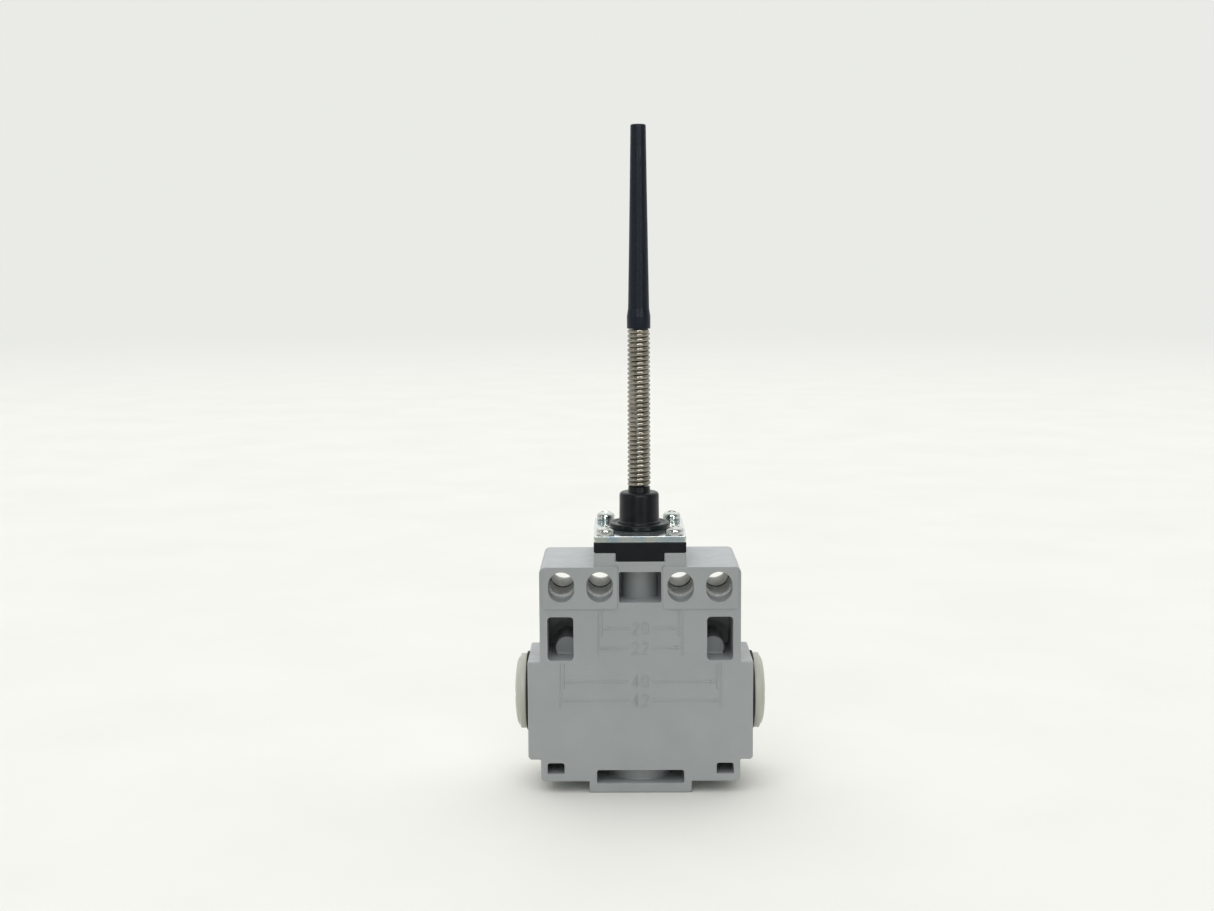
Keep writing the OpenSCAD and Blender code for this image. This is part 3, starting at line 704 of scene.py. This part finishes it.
def ridge(path, width, base_y, height, closed=False):
    """A low ridge with sloping sides that follows a path of (x, z) points on the mounting face."""
    points = []
    faces = []
    count = len(path)
    for i, here in enumerate(path):
        here = Vector(here)
        before = Vector(path[i - 1]) if i or closed else here
        after = Vector(path[(i + 1) % count]) if i < count - 1 or closed else here
        first = (here - before).normalized() if (here - before).length else (after - here).normalized()
        second = (after - here).normalized() if (after - here).length else first
        along = (first + second).normalized()
        across = Vector((-along.y, along.x)) / max(0.5, along.dot(first))
        for offset, y in ((-0.5, base_y + 0.1), (-0.5, base_y), (-0.28, base_y - height),
                          (0.28, base_y - height), (0.5, base_y), (0.5, base_y + 0.1)):
            spot = here + across * offset * width
            points.append((spot.x, y, spot.y))
    ring = 6
    for i in range(count if closed else count - 1):
        j = (i + 1) % count
        for k in range(ring):
            m = (k + 1) % ring
            faces.append((i * ring + k, i * ring + m, j * ring + m, j * ring + k))
    if not closed:
        faces.append(tuple(range(ring)))
        faces.append(tuple((count - 1) * ring + k for k in range(ring)))
    return points, faces


def arc(x, z, r_x, r_z, start, end, steps=8):
    """Points on an ellipse between two angles in degrees."""
    swings = [math.radians(start + (end - start) * k / steps) for k in range(steps + 1)]
    return [(x + r_x * math.cos(a), z + r_z * math.sin(a)) for a in swings]


def figure_path(figure, x, z, w, h):
    """The stroke of a 0, 2 or 4 in a cell w wide and h high whose lower left corner is at x, z, and whether
    it is a loop."""
    if figure == "0":
        corners = [(x, z, 0.5), (x + w, z, 0.5), (x + w, z + h, 0.5), (x, z + h, 0.5)]
        return rounded(corners, steps=4, closed=True), True
    if figure == "2":
        bowl = arc(x + w / 2, z + h - w / 2, w / 2, w / 2, 165, -35)
        return bowl + [(x, z), (x + w, z)], False
    stem, bar = x + w * 0.72, z + h * 0.28
    return [(stem, z), (stem, z + h), (x, bar), (x + w, bar)], False


def make_marks():
    """Hole-spacing marks on the mounting face: extension lines, arrows and plain figures."""
    foot_step = 0.3
    face_y = box_mm("housing")[0].y + foot_step
    height, line_w = 0.16, 0.45
    figure_w, figure_h, figure_gap = 1.45, 3.1, 1.0
    line_start, line_end, arrow_long, arrow_half = 3.0, 0.35, 1.5, 0.5
    parts = []
    # Figures, half the span, height of the arrows, and upper and lower end of the extension lines
    spans = (
        ("20", 10.0, 44.3, 48.9, 42.1), ("22", 11.0, 39.1, 48.9, 37.0),
        ("40", 20.0, 30.1, 34.8, 28.1), ("42", 21.0, 25.0, 34.8, 23.2),
    )
    for text, half, level, upper, lower in spans:
        for side in SIDES:
            parts.append(ridge([(side * half, upper), (side * half, lower)], line_w, face_y, height))
            tip = half - line_end
            parts.append(ridge([(side * line_start, level), (side * tip, level)], line_w, face_y, height))
            for tilt in SIDES:
                barb = (side * (tip - arrow_long), level + tilt * arrow_half)
                parts.append(ridge([(side * tip, level), barb], line_w * 0.8, face_y, height * 0.8))
        start = -(2 * figure_w + figure_gap) / 2
        for i, figure in enumerate(text):
            x = start + i * (figure_w + figure_gap)
            path, closed = figure_path(figure, x, level - figure_h / 2, figure_w, figure_h)
            parts.append(ridge(path, line_w, face_y, height, closed))
    points = []
    faces = []
    for part_points, part_faces in parts:
        faces += [tuple(len(points) + i for i in face) for face in part_faces]
        points += part_points
    mesh = mesh_from("marks", points, faces, merge=False)
    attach(piece_from("hole_spacing_marks", mesh, HOUSING), "root")


# ---------- studio ----------

def make_camera():
    """The viewpoint: 0.43 m in front of the mounting face, about as high as the middle of the rod's sleeve,
    tipped down and very slightly turned."""
    data = bpy.data.cameras.new("Camera")
    data.sensor_width = 36.0
    data.lens = 48.67
    data.clip_start = 0.01
    pitch, yaw, roll = (math.radians(a) for a in (7.356, 0.39, -0.312))
    right = Vector((math.cos(yaw), math.sin(yaw), 0))
    ahead = Vector((-math.sin(yaw) * math.cos(pitch), math.cos(yaw) * math.cos(pitch), -math.sin(pitch)))
    up = right.cross(ahead)
    x_axis = math.cos(roll) * right + math.sin(roll) * up
    y_axis = math.cos(roll) * up - math.sin(roll) * right
    camera = bpy.data.objects.new("Camera", data)
    place = Matrix((x_axis, y_axis, -ahead)).transposed().to_4x4()
    place.translation = Vector((-5.56, -432.07, 143.58)) * MM
    camera.matrix_world = place
    bpy.context.scene.collection.objects.link(camera)
    bpy.context.scene.camera = camera


BACKDROP = paint(234, 235, 231)


def near_or_seen(paper):
    """1 where the paper is seen. For the light that it throws, 1 round the object, falling to 0 well in
    front of the mounting face."""
    split = paper.nodes.new("ShaderNodeSeparateXYZ")
    paper.links.new(paper.millimetres, split.inputs[0])
    fade = paper.nodes.new("ShaderNodeMapRange")
    fade.interpolation_type = "SMOOTHSTEP"
    fade.inputs["From Min"].default_value = -260
    fade.inputs["From Max"].default_value = -70
    paper.links.new(split.outputs["Y"], fade.inputs["Value"])
    path = paper.nodes.new("ShaderNodeLightPath")
    either = paper.nodes.new("ShaderNodeMath")
    either.operation = "MAXIMUM"
    paper.links.new(fade.outputs["Result"], either.inputs[0])
    paper.links.new(path.outputs["Is Camera Ray"], either.inputs[1])
    return either.outputs[0]


def make_floor():
    """A wide pale floor that fades into the backdrop's own colour far away. For the light it throws and the
    reflections it gives, it is painted grey well in front of the mounting face: painted shade.
    """
    radius = 6000
    fade_start, fade_end = 500, 2600
    segments = 96
    points = [(radius * math.cos(TURN * k / segments), radius * math.sin(TURN * k / segments), 0)
              for k in range(segments)]
    floor_mesh = mesh_from("studio_floor", points, [tuple(range(segments))])
    floor = bpy.data.objects.new("studio_floor", floor_mesh)
    bpy.context.scene.collection.objects.link(floor)
    paper = Finish("pale_paper", Specular_IOR_Level=0.2, Roughness=0.8)
    pale = paper.blend(paper.noise(60), paint(231, 231, 226), paint(234, 234, 229))
    # Painted shade: grey (150, 150, 147) where the mask is 0, well in front of the mounting face, for thrown
    # light and reflections only; pale where seen.
    paper.colour(paper.blend(near_or_seen(paper), paint(150, 150, 147), pale))
    far = paper.nodes.new("ShaderNodeVectorMath")
    far.operation = "LENGTH"
    paper.links.new(paper.millimetres, far.inputs[0])
    fade = paper.nodes.new("ShaderNodeMapRange")
    fade.interpolation_type = "SMOOTHERSTEP"
    fade.inputs["From Min"].default_value = fade_start
    fade.inputs["From Max"].default_value = fade_end
    paper.links.new(far.outputs["Value"], fade.inputs["Value"])
    glow = paper.nodes.new("ShaderNodeEmission")
    glow.inputs["Color"].default_value = BACKDROP
    mix = paper.nodes.new("ShaderNodeMixShader")
    paper.links.new(fade.outputs["Result"], mix.inputs["Fac"])
    paper.links.new(paper.shader.outputs["BSDF"], mix.inputs[1])
    paper.links.new(glow.outputs["Emission"], mix.inputs[2])
    output = next(n for n in paper.nodes if n.type == "OUTPUT_MATERIAL")
    paper.links.new(mix.outputs["Shader"], output.inputs["Surface"])
    floor_mesh.materials.append(paper.material)


def make_world():
    """A pale backdrop. Its light is strong from above and from the cover's side, and weak from the side of
    the mounting face."""
    front_light, back_light, top_light = 0.22, 0.8, 1.3
    brightest = (0, 0.55, 0.835)
    world = bpy.data.worlds.new("studio")
    world.use_nodes = True
    bpy.context.scene.world = world
    nodes, links = world.node_tree.nodes, world.node_tree.links
    place = nodes.new("ShaderNodeTexCoord")
    split = nodes.new("ShaderNodeSeparateXYZ")
    links.new(place.outputs["Generated"], split.inputs[0])

    def ramp(source, start, end, low, high):
        spread = nodes.new("ShaderNodeMapRange")
        spread.interpolation_type = "SMOOTHSTEP"
        spread.inputs["From Min"].default_value = start
        spread.inputs["From Max"].default_value = end
        for name, value in (("To Min", low), ("To Max", high)):
            if isinstance(value, float):
                spread.inputs[name].default_value = value
            else:
                links.new(value, spread.inputs[name])
        links.new(source, spread.inputs["Value"])
        return spread.outputs["Result"]

    around = ramp(split.outputs["Y"], -0.4, 0.45, front_light, back_light)
    overhead = nodes.new("ShaderNodeVectorMath")
    overhead.operation = "DOT_PRODUCT"
    overhead.inputs[1].default_value = brightest
    links.new(place.outputs["Generated"], overhead.inputs[0])
    light = ramp(overhead.outputs["Value"], 0.55, 0.92, around, top_light)
    seen = nodes["Background"]
    seen.inputs["Color"].default_value = BACKDROP
    lit = nodes.new("ShaderNodeBackground")
    lit.inputs["Color"].default_value = (1.0, 1.0, 0.99, 1)
    links.new(light, lit.inputs["Strength"])
    path = nodes.new("ShaderNodeLightPath")
    mix = nodes.new("ShaderNodeMixShader")
    links.new(path.outputs["Is Camera Ray"], mix.inputs["Fac"])
    links.new(lit.outputs["Background"], mix.inputs[1])
    links.new(seen.outputs["Background"], mix.inputs[2])
    links.new(mix.outputs["Shader"], nodes["World Output"].inputs["Surface"])


def soft_sun(name, toward, energy, spread):
    """Broad light from one side that leaves no shine of its own."""
    data = bpy.data.lights.new(name, "SUN")
    data.energy = energy
    data.angle = math.radians(spread)
    sun = bpy.data.objects.new(name, data)
    sun.rotation_euler = Vector(toward).to_track_quat("Z", "Y").to_euler()
    sun.visible_glossy = False
    bpy.context.scene.collection.objects.link(sun)


# Windows that only add shine: azimuth and elevation in degrees, power in watts, width and height in metres
WINDOWS = (
    (-11, 14, 2.6, 0.3, 0.3),
    (30, 14, 3.2, 0.35, 0.3),
    (-61, 12, 1.2, 0.3, 0.4),
    (4, 42, 9.0, 1.0, 0.4),
)


def make_lights():
    soft_sun("ceiling_light", (-0.15, 0.3, 1), 0.42, 60)
    soft_sun("softbox", (-0.1, -0.6, 0.8), 1.17, 65)
    distance = 1.5
    centre = Vector((0, 0, 0.08))
    for azimuth, elevation, energy, width, height in WINDOWS:
        data = bpy.data.lights.new("window", "AREA")
        data.shape = "RECTANGLE"
        data.size, data.size_y = width, height
        data.energy = energy
        turn, rise = math.radians(azimuth), math.radians(elevation)
        toward = Vector((math.sin(turn) * math.cos(rise), -math.cos(turn) * math.cos(rise), math.sin(rise)))
        window = bpy.data.objects.new("window", data)
        window.location = toward * distance + centre
        window.rotation_euler = toward.to_track_quat("Z", "Y").to_euler()
        window.visible_diffuse = False
        bpy.context.scene.collection.objects.link(window)


make_camera()
finish_cad_nodes()
make_mouldings()
make_plug("left_plug", -1, "left_blanking_plug")
make_plug("right_plug", 1, "right_blanking_plug")
make_bush_seams()
make_head_screws()
make_cover_screws()
make_rod_spring()
make_inner_spring("plunger_spring", "wound_plunger_spring", 0.7, 5)
make_inner_spring("carrier_spring", "wound_carrier_spring", 0.5, 9)
make_boot()
make_sleeve()
make_marks()
make_floor()
make_world()
make_lights()
bpy.context.scene.view_settings.view_transform = "Standard"
